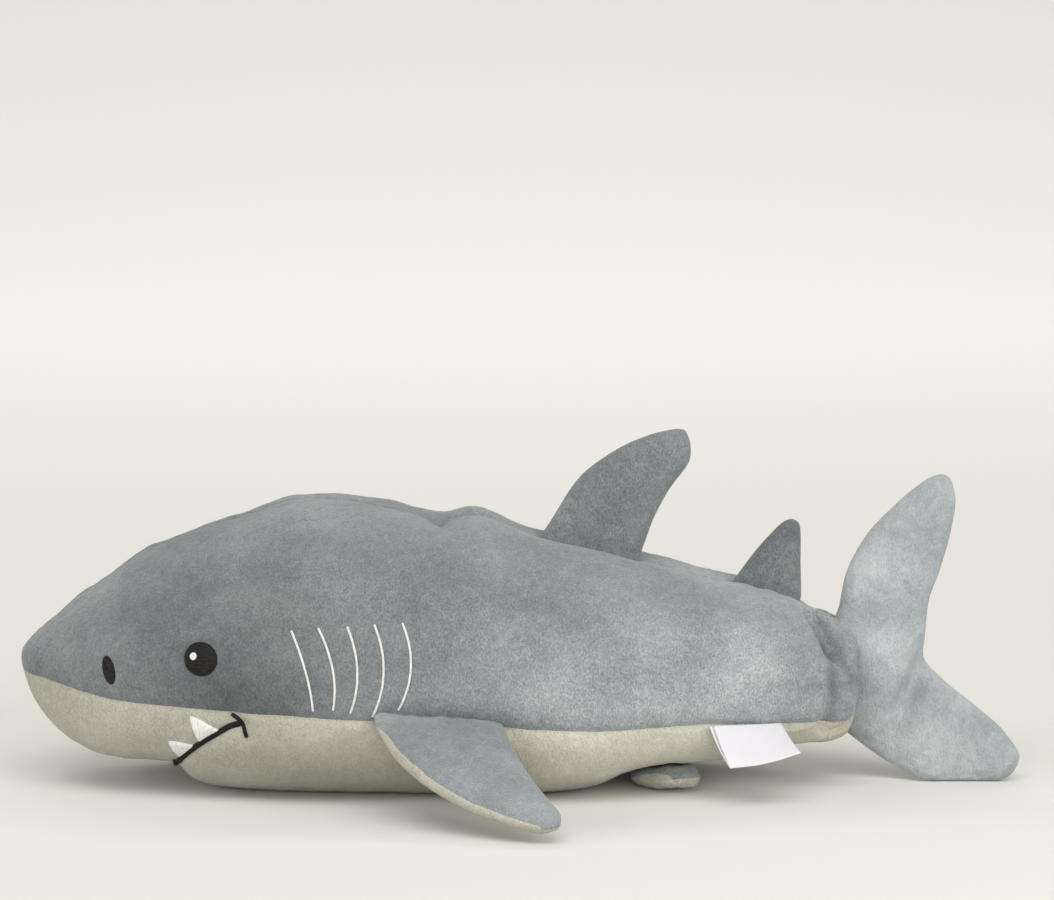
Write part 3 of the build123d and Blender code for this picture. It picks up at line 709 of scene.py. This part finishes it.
def tooth(skin, name, corners, side):
    """A white three-cornered patch of satin stitches, its first corner the tip."""
    tip, left, right = (np.array(c) for c in corners)
    s, t = np.meshgrid(np.linspace(0, 1, 31), np.linspace(0, 1, 31), indexing="ij")
    wide = (s ** 0.74 * (t - 0.5))[..., None]
    flat = tip + ((left + right) / 2 - tip) * s[..., None] + (right - left) * wide
    places, normals = from_side(skin, flat[..., 0], flat[..., 1], side)
    normals = softened(normals, 8)
    edge = np.minimum(np.minimum(t, 1 - t) * s * 9, (1 - s) * 9)
    rise = 0.15 + 0.35 * np.sqrt(np.clip(edge, 0, 1)) + 0.03 * np.sin(2 * math.pi * t * 16)
    outer = places + normals * rise[..., None]
    return mesh_piece(name, *shell(outer, places - normals * 0.8), WHITE)


TOOTH_FRONT = [(-113.4, 20.2), (-110.2, 13.6), (-104.2, 19.0)]
TOOTH_REAR = [(-106.0, 29.2), (-103.2, 19.8), (-96.2, 24.8)]


def make_face(skin):
    for name, side in SIDES:
        eye = stitched_disc(skin, f"stitched_eye_{name}", EYE, (EYE_RADIUS,) * 2, 0, side, 0.95, BLACK)
        settle(eye, "trunk", "black_embroidery", f"eye_{name}")
        glint = stitched_disc(skin, f"stitched_glint_{name}", (EYE[0] - 2.2, EYE[1] + 0.8), (1.15,) * 2, 0,
                              side, 0.3, WHITE, 0.3, 1.05)
        settle(glint, "trunk", "white_embroidery", f"eye_glint_{name}")
        nostril = stitched_disc(skin, f"stitched_nostril_{name}", NOSTRIL, NOSTRIL_HALF, 12, side, 0.45,
                                BLACK)
        settle(nostril, "trunk", "black_embroidery", f"nostril_{name}")
        tick = from_side(skin, *np.array(CORNER).T, side)[0]
        piece = stitched_line(skin, f"stitched_corner_{name}", tick, 1.3, 0.6, BLACK)
        settle(piece, "trunk", "black_embroidery", f"mouth_corner_{name}")
        for which, corners in (("front", TOOTH_FRONT), ("rear", TOOTH_REAR)):
            piece = tooth(skin, f"stitched_tooth_{which}_{name}", corners, side)
            settle(piece, "trunk", "white_embroidery", f"tooth_{which}_{name}")
        lines = [from_side(skin, *np.array(gill_path(k)).T, side)[0] for k in range(5)]
        piece = stitched_line(skin, f"stitched_gills_{name}", lines[0], 0.72, 0.3, WHITE, 0.9, 0.3, lines[1:])
        settle(piece, "trunk", "white_embroidery", f"gill_stitching_{name}")
    left, right = (from_side(skin, *np.array(MOUTH).T, side)[0] for _, side in SIDES)
    across = np.linspace(-29, 29, 15)
    path = np.concatenate([left[::-1], from_below(skin, chin_line(across), across), right])
    piece = stitched_line(skin, "stitched_mouth", path, 2.0, 0.7, BLACK)
    settle(piece, "trunk", "black_embroidery", "mouth_stitching")


# ---- Fins --------------------------------------------------------------------------------

FIN_CLOTH, ABOVE_TABLE = 1.5, 0.02


class Fin:
    """A stuffed fin in its own plane: u runs along the root, v away from the fold and n to its face.

    lead and trail give the fin's two edges as (v, u) points and thick its half thickness as (v, n).
    bend moves u, v, n arrays, to curve the fin. Both ends of v are round where open_root is False.
    """

    def __init__(self, lead, trail, thick, open_root=True, bend=None, rows=90, columns=72, rim=4.5,
                 blunt=0.7, seam_in=0.0):
        self.low, self.high = lead[0][0], lead[-1][0]
        self.rim, self.blunt, self.seam_in = rim, blunt, seam_in
        self.half_width = max(t[1] - f[1] for f, t in zip(lead, trail)) / 2
        self.open_root, self.bend = open_root, bend
        self.rows, self.columns = rows, columns
        self.lead, self.trail, self.thick = (smooth_curve(k, self.place) for k in (lead, trail, thick))

    def place(self, v):
        """0 to 1 along v, slower at an end that closes, so that the outline is round there."""
        share = np.clip((np.asarray(v, float) - self.low) / (self.high - self.low), 0, 1)
        if self.open_root:
            return np.arcsin(share) * 2 / math.pi
        return np.arccos(1 - 2 * share) / math.pi

    def levels(self):
        t = np.linspace(0, 1, self.rows)
        share = np.sin(math.pi * t / 2) if self.open_root else (1 - np.cos(math.pi * t)) / 2
        return self.low + (self.high - self.low) * share

    def face(self, seed, inset=0.0, share=(0.0, 1.0), columns=None):
        """Part of one face as a grid of (u, v, n), with n above 0 and drawn in by inset.

        A share from 0 to 1 runs from the seam to the trailing edge, and one from -1 to 0 from the
        leading edge to the seam.
        """
        v = self.levels()
        lead, trail, thick = self.lead(v), self.trail(v), self.thick(v)
        seam = lead + np.minimum(self.seam_in * ease(v, 1, 12), 0.4 * (trail - lead))
        turn = (1 - np.cos(np.linspace(0, math.pi, columns or self.columns))) / 2
        at = (share[0] + (share[1] - share[0]) * turn)[None]
        wide = np.where(at < 0, (seam - lead)[:, None], np.maximum(trail - seam, 0.02)[:, None])
        u = seam[:, None] + at * wide
        flat = np.stack([u, np.repeat(v[:, None], u.shape[1], 1), 0 * u], -1)
        outline = np.concatenate([np.stack([lead, v], -1), np.stack([trail, v], -1)[::-1]])[::2]
        if not self.open_root:
            outline = np.concatenate([outline, outline[:1]])
        edge = off_line(u, flat[..., 1], outline)[0]
        edge[np.broadcast_to(at, u.shape) >= 1] = 0
        edge[np.broadcast_to(at, u.shape) <= -1] = 0
        if self.seam_in == 0:
            edge[:, 0] = 0
        rounding = np.sqrt(1 - (1 - np.clip((edge - inset) / self.rim, 0, 1)) ** 2)
        dome = 1 - (1 - np.clip((edge - inset) / self.half_width, 0, 1)) ** 2
        n = np.maximum(thick - inset, 0.1)[:, None] * (self.blunt * rounding + (1 - self.blunt) * dome)
        grid = flat + np.stack([0 * n, 0 * n, n], -1)
        if inset:
            return grid
        swell = 0.5 * lumps(flat, 15, seed) + 0.22 * lumps(flat, 6, seed + 1)
        pucker = 0.42 * lumps(flat, 2.7, seed + 2) * bell(edge - 1.6, 3)
        root = 0.7 * lumps(flat * (1, 0.3, 0), 3.6, seed + 3) * bell(grid[..., 1] + 1, 7) * self.open_root
        pile = 0.07 * lumps(flat, 1.2, seed + 4)
        seam_line = 0.5 * bell(u - seam[:, None], 0.7) * (self.seam_in > 0)
        grid[..., 2] += (swell + pucker + root + pile - seam_line) * ease(edge, 0, 2.2)
        grid[..., 2] = np.maximum(grid[..., 2], 0.0)
        return grid

    def panel(self, seed, sign, upper):
        """Outer and inner surface of one cloth panel, the inner one pulled in from every edge.

        The lower panel turns around the leading edge, up to the seam on the upper face.
        """
        outer = self.face(seed + sign) * (1, 1, sign)
        if self.seam_in and sign != upper:
            outer = self.face(seed + sign, share=(-1.0, 1.0), columns=self.columns + 14) * (1, 1, sign)
            strip = self.face(seed + upper, share=(-1.0, 0.0), columns=12) * (1, 1, upper)
            outer = np.concatenate([strip[:, :0:-1], outer], 1)
        centre = outer[..., 0].mean(1, keepdims=True)
        half = np.maximum(np.abs(outer[..., 0] - centre).max(1, keepdims=True), 0.01)
        inner = outer.copy()
        inner[..., 0] = centre + (outer[..., 0] - centre) * np.maximum(1 - FIN_CLOTH / half, 0.1)
        low = self.low - FIN_CLOTH if self.open_root else self.low + FIN_CLOTH
        inner[..., 1] = np.clip(outer[..., 1], low, self.high - FIN_CLOTH)
        inner[..., 2] = sign * np.maximum(sign * outer[..., 2] - FIN_CLOTH, 0.03)
        return [self.shaped(g) for g in (outer, inner)]

    def shaped(self, grid):
        if not self.bend:
            return grid
        return np.stack(self.bend(grid[..., 0], grid[..., 1], grid[..., 2]), -1)

    def stuffing(self):
        """The fibre inside: the two faces drawn in towards the middle of the fin."""
        upper = self.face(0, FIN_CLOTH + 0.6)
        centre = upper[..., 0].mean(1, keepdims=True)
        upper[..., 0] = centre + (upper[..., 0] - centre) * 0.85
        low = self.low if self.open_root else self.low + FIN_CLOTH + 1
        upper[..., 1] = np.clip(upper[..., 1], low, self.high - FIN_CLOTH - 1)
        return [self.shaped(g) for g in (upper, upper * (1, 1, -1))]


def to_world(grid, origin, along, out):
    """Fin grid (u, v, n) to the row frame. n points to along x out, and nothing goes below the table."""
    along, out = unit(np.array(along, float)), unit(np.array(out, float))
    normal = np.cross(along, out)
    points = np.array(origin) + grid[..., :1] * along + grid[..., 1:2] * out + grid[..., 2:] * normal
    points[..., 2] = np.maximum(points[..., 2], ABOVE_TABLE)
    return points


def make_fin(fin, body, joint, along, out, sides, seed, blend=(-6, 6), origin=None, nap_and_painted_light=None, away=None):
    """Both panels and the stuffing of a fin. sides: (piece, sign, material, slot, CAD node).

    The points at blend[0] and blend[1] from the fold, measured along away, which is out where it isn't given,
    are passed to settle as its bend.
    """
    if origin is None:
        origin = np.array(JOINTS[joint]["pos_m"]) / MM
    away = unit(np.array(out if away is None else away, float))
    start, end = ([float(c) for c in (origin + away * d) * MM] for d in blend)
    for name, sign, material, slot, node in sides:
        outer, inner = fin.panel(seed, sign, sides[0][1])
        solid = shell(*(to_world(g, origin, along, out) for g in (outer, inner)))
        piece = mesh_piece(name, *solid, material, nap_and_painted_light)
        settle(piece, body, slot, node, bend=(start, end))
    faces = [to_world(g, origin, along, out) for g in fin.stuffing()]
    piece = mesh_piece(f"{body}_fibre", *shell(*faces), FIBRE)
    settle(piece, body, "polyester_fibre", f"{body}_stuffing", bend=(start, end))


def pectoral_bend(u, v, n):
    """The root runs level, the middle arches and the tip lies flatter towards the table."""
    reach = np.clip(v / 51, 0, 1)
    level = 0.5 * np.log1p(np.exp((2.0 - v) / 2.0))
    back = 0.085 * np.clip(u - 4, 0, 50) * (1 - reach)
    return u, v, n + 0.6 * np.sin(math.pi * reach) + 2.6 * reach ** 2 - level - back


def pelvic_bend(u, v, n):
    inside = np.clip(-v / 6, 0, 1)
    return u, v + inside * 1.5, n + 4.5 * inside


PECTORAL = Fin(
    lead=[(-8, 1), (-4, 0), (0, 0.6), (14, 5.5), (27, 14.5), (39, 27.5), (47, 41), (50.6, 49), (51.5, 53)],
    trail=[(-8, 41), (-4, 41.6), (0, 42.2), (10, 45), (23, 49.4), (36, 55.4), (45, 59.4), (49.5, 58.8),
           (51.5, 54)],
    thick=[(-8, 1.2), (-4, 1.8), (0, 2.6), (8, 4.0), (20, 5.0), (38, 4.6), (46, 4.2), (51.5, 3.8)],
    bend=pectoral_bend, seam_in=1.7)
DORSAL = Fin(
    lead=[(-12, -2), (-5, 0.2), (0, 2.0), (3, 2.9), (14, 7), (24.5, 15.2), (33.5, 26.4), (37, 33.4),
          (37.8, 36.4)],
    trail=[(-12, 33), (-5, 33), (0, 33.5), (5, 34), (16, 36.6), (29, 41.4), (33, 40.6), (36.4, 38.8),
           (37.8, 37)],
    thick=[(-12, 3.4), (-5, 4.2), (0, 4.6), (12, 5.0), (24, 4.6), (33, 4.2), (38, 4)])
SECOND_DORSAL = Fin(
    lead=[(-9, -3.4), (-4, -2), (0, -0.8), (7, 1.5), (13, 4.0), (18, 6.6), (19.9, 9.6)],
    trail=[(-9, 21), (-4, 20.5), (0, 19.2), (8, 16.2), (16, 13.4), (18.6, 12.2), (19.9, 10)],
    thick=[(-9, 3.2), (-4, 3.6), (0, 3.8), (8, 3.8), (15, 3.4), (20.3, 3.2)], rows=60, columns=48, rim=3.5)
PELVIC = Fin(
    lead=[(-6, 0), (0, 0), (5, 2.5), (10, 7), (13.6, 13)],
    trail=[(-6, 20), (0, 21), (5, 22.4), (9, 22.4), (12, 20), (13.6, 15)],
    thick=[(-6, 1.5), (0, 2.8), (5, 3.7), (10, 3.9), (13.6, 3.6)], bend=pelvic_bend, rows=50, columns=48,
    rim=3.6, blunt=0.85, seam_in=0.8)

PECTORAL_DROOP, PELVIC_DROOP = math.radians(30), math.radians(-8)


def make_side_fins():
    kinds = ((PECTORAL, "pectoral", PECTORAL_DROOP, 20), (PELVIC, "pelvic", PELVIC_DROOP, 40))
    for name, side in SIDES:
        for fin, kind, droop, seed in kinds:
            body = f"{kind}_{name}"
            joint = f"{body}_fold"
            along = np.array(JOINTS[joint]["axis"]) * side
            out = (0, side * math.cos(droop), -math.sin(droop))
            up = 1 if np.cross(along, out)[2] > 0 else -1
            make_fin(fin if up > 0 else flipped(fin), body, joint, along, out, [
                (f"{body}_upper_fleece", up, MID_NAP, "fin_top_fleece", f"{body}_upper_panel"),
                (f"{body}_under_fleece", -up, PALE, "fin_under_fleece", f"{body}_under_panel"),
            ], seed + side * 3)


def flipped(fin):
    """The same fin with its bend turned over, for the other side of the toy."""
    other = Fin.__new__(Fin)
    other.__dict__.update(fin.__dict__)
    if fin.bend:
        def bend(u, v, n):
            a, b, c = fin.bend(u, v, -n)
            return a, b, -c
        other.bend = bend
    return other


def make_back_fins():
    # The back fins wear shaded copies of the grey: painted shade.
    for fin, body, cloth, seed in ((DORSAL, "dorsal_fin", SHADED_SLATE, 60),
                                   (SECOND_DORSAL, "second_dorsal_fin", DEEPER_SHADED_SLATE, 70)):
        along = JOINTS[f"{body}_fold"]["axis"]
        out = np.cross(along, (0, 1, 0))
        out = out if out[2] > 0 else -out
        left = 1 if np.cross(along, out)[1] < 0 else -1
        make_fin(fin, body, f"{body}_fold", along, out, [
            (f"{body}_fleece_left", left, cloth, "fin_top_fleece", f"{body}_panel_left"),
            (f"{body}_fleece_right", -left, cloth, "fin_top_fleece", f"{body}_panel_right"),
        ], seed)


# The tail fin stands upright, so its v is the height above the table and u the distance behind
# its fold, and n points to the shark's left.
def tail_bend(u, v, n):
    """The upper lobe leans away from the left, the lower one towards it, with a crease between."""
    free = ease(u, 0, 25)
    high = np.clip((v - 48) / 54, 0, 1)
    low = np.clip((40 - v) / 40, 0, 1)
    off, along = off_line(u, v, [(23, 42), (17, 27), (10.5, 12)])
    crease = 5.0 * bell(off, 3.8) * (1 - 0.7 * along) - 1.0 * bell(off - 6, 4) * (1 - along)
    creased = np.where(n > 0, crease, 0.6 * crease)
    return u, v, n - 5.0 * high ** 1.3 + 5.5 * low * free - creased


TAIL = Fin(
    lead=[(0.2, 26), (3.6, 15), (9, 6), (15, -2), (19, -7), (24, -9), (46, -9), (52, -7.6), (57, -5.6),
          (67, -3.6), (80, 2.8), (91, 13), (98, 21.4), (101, 28.4)],
    trail=[(0.2, 46), (3, 52.4), (8, 54.4), (16, 49.5), (25, 39.5), (33, 29.5), (41, 22.8),
           (58, 24), (70, 28), (83, 31.6), (92, 33), (98, 32), (101, 29)],
    thick=[(0.2, 4), (8, 4.6), (20, 5.4), (45, 5.8), (75, 5.4), (92, 4.8), (101, 4.2)],
    open_root=False, bend=tail_bend, rows=170, columns=84, rim=5.0)


def make_tail_fin():
    fold = np.array(JOINTS["tail_fin_swing"]["pos_m"]) / MM
    origin = np.array([fold[0], 0, 0])
    # The tail fin wears a lit copy of the grey and a lighter patch: painted light.
    make_fin(TAIL, "tail_fin", "tail_fin_swing", (1, 0, 0), (0, 0, 1), [
        ("tail_fin_fleece_left", 1, LIT_SLATE, "fin_top_fleece", "tail_fin_panel_left"),
        ("tail_fin_fleece_right", -1, LIT_SLATE, "fin_top_fleece", "tail_fin_panel_right"),
    ], 80, blend=(-4, 9), origin=origin, nap_and_painted_light=tail_nap_and_painted_light, away=(1, 0, 0))


# ---- Care label --------------------------------------------------------------------------

LABEL_WIDTH, LABEL_DROP, LABEL_PLY = 24.0, 16.5, 0.32
LABEL_ROOT = np.array([(62.3, -40.2, 25.2), (84.6, -31.8, 24.4)])  # front and rear end of its root
LABEL_FOLD = np.array([(67.4, -50.4, 13.4), (90.4, -45.2, 17.4)])


def make_label():
    """A ribbon folded in half, sewn by both ends into the flank seam, and twisted up at its rear."""
    t, k = np.meshgrid(np.linspace(0, 1, 50), np.linspace(0, 2, 81), indexing="ij")
    s, front = 1 - np.abs(1 - k), k <= 1
    root = LABEL_ROOT[0] + (LABEL_ROOT[1] - LABEL_ROOT[0]) * t[..., None]
    fold = LABEL_FOLD[0] + (LABEL_FOLD[1] - LABEL_FOLD[0]) * t[..., None]
    middle = root + (fold - root) * s[..., None]
    bow = np.sin(math.pi * s) * 0.9 + np.sin(math.pi * t) * 0.9 * s ** 2
    middle += bow[..., None] * np.array([0, -0.4, -0.9])
    middle += (0.35 * lumps(middle, 9, 90) * s)[..., None] * np.array([0, -0.6, 0.8])
    normal = unit(np.cross(np.gradient(middle, axis=0), fold - root))
    normal *= np.where(normal[..., 1:2] > 0, -1, 1)
    gap = 0.25 + 0.55 * np.sin(math.pi * np.clip(s, 0, 1)) ** 0.7
    middle += normal * (np.where(front, 1, -1) * gap / 2)[..., None]
    middle[..., 0] -= np.where(front, 0, 1.1 * (1 - s))
    out = unit(np.cross(np.gradient(middle, axis=0), np.gradient(middle, axis=1)))
    ply = LABEL_PLY / 2
    piece = mesh_piece("satin_label", *shell(middle + out * ply, middle - out * ply), SATIN)
    joint = np.array(JOINTS["care_label_flip"]["pos_m"])
    away = np.array([0, -math.cos(math.radians(38)), -math.sin(math.radians(38))])
    bend = [(joint + away * d).tolist() for d in (-0.003, 0.002)]
    settle(piece, "care_label", "label_satin", "care_label", bend=bend)


# ---- Stage -------------------------------------------------------------------------------


def plain_material(name, colour, rough=0.9):
    material, _, shader = new_material(name)
    shader.inputs["Base Color"].default_value = (*colour, 1)
    shader.inputs["Roughness"].default_value = rough
    shader.inputs["Specular IOR Level"].default_value = 0.1
    return material


def make_stage():
    """A seamless pale sweep: floor, a wide curve, and a wall behind."""
    angle = np.linspace(0, math.pi / 2, 24)
    y = np.concatenate([[-6000, -1000, 0, 1800], 1800 + 2400 * np.sin(angle)[1:], [4200]])
    z = np.concatenate([[0, 0, 0, 0], 1500 - 1500 * np.cos(angle)[1:], [4000]])
    x = np.linspace(-6000, 6000, 3)
    points = np.stack(np.broadcast_arrays(x[:, None], y, z), -1)
    paper = plain_material("sweep_paper", (0.715, 0.714, 0.68))
    sweep = mesh_piece("sweep", points.reshape(-1, 3), quads(3, len(y)), paper)


SOFT_WHITE = (1.0, 0.99, 0.97)


def area_light(name, place, size, watts, at=(0, 0, 40)):
    light = bpy.data.lights.new(name, "AREA")
    light.shape, light.size, light.size_y = "RECTANGLE", size[0] * MM, size[1] * MM
    light.energy, light.color = watts, SOFT_WHITE
    lamp = bpy.data.objects.new(name, light)
    lamp.location = Vector(place) * MM
    lamp.rotation_euler = (Vector(at) - Vector(place)).to_track_quat("-Z", "Y").to_euler()
    bpy.context.scene.collection.objects.link(lamp)


def make_lights():
    world = bpy.data.worlds.new("studio")
    world.use_nodes = True
    world.node_tree.nodes["Background"].inputs[0].default_value = (1.0, 0.94, 0.82, 1)
    world.node_tree.nodes["Background"].inputs[1].default_value = 0.22
    bpy.context.scene.world = world
    area_light("key", (900, -650, 500), (500, 500), 5, (60, 0, 40))
    area_light("left", (-1300, -300, 420), (700, 900), 6, (-100, 0, 20))
    area_light("front", (-100, -1600, 420), (2600, 600), 13, (0, 0, 40))
    area_light("high_front", (0, -900, 1500), (2000, 1200), 20)
    area_light("back_wash", (0, 1400, 2000), (4000, 1500), 66, (0, 3100, 0))


CAMERA_AWAY, CAMERA_ELEVATION = 1450.0, math.radians(10.0)
CAMERA_SCALE = 0.3313  # mm across one pixel of a 1054 pixel wide picture, at the toy's middle
LOOK_AT = (2.3, 0.0, 45.0)  # the toy's middle, which lies below the picture's middle
DROP_PIXELS = 194.0


def make_camera():
    camera = bpy.data.objects.new("camera", bpy.data.cameras.new("camera"))
    pixels_away = CAMERA_AWAY / CAMERA_SCALE
    camera.data.sensor_width = 36.0
    camera.data.lens = 36.0 * pixels_away / 1054
    back = (0, -math.cos(CAMERA_ELEVATION), math.sin(CAMERA_ELEVATION))
    camera.location = [(c + b * CAMERA_AWAY) * MM for c, b in zip(LOOK_AT, back)]
    pitch = CAMERA_ELEVATION - math.atan(DROP_PIXELS / pixels_away)
    camera.rotation_euler = (math.pi / 2 - pitch, 0, 0)
    camera.data.clip_end = 20
    bpy.context.scene.collection.objects.link(camera)
    bpy.context.scene.camera = camera
    bpy.context.scene.view_settings.view_transform = "Standard"


make_camera()
skin = make_body()
make_face(skin)
make_side_fins()
make_back_fins()
make_tail_fin()
make_label()
make_stage()
make_lights()
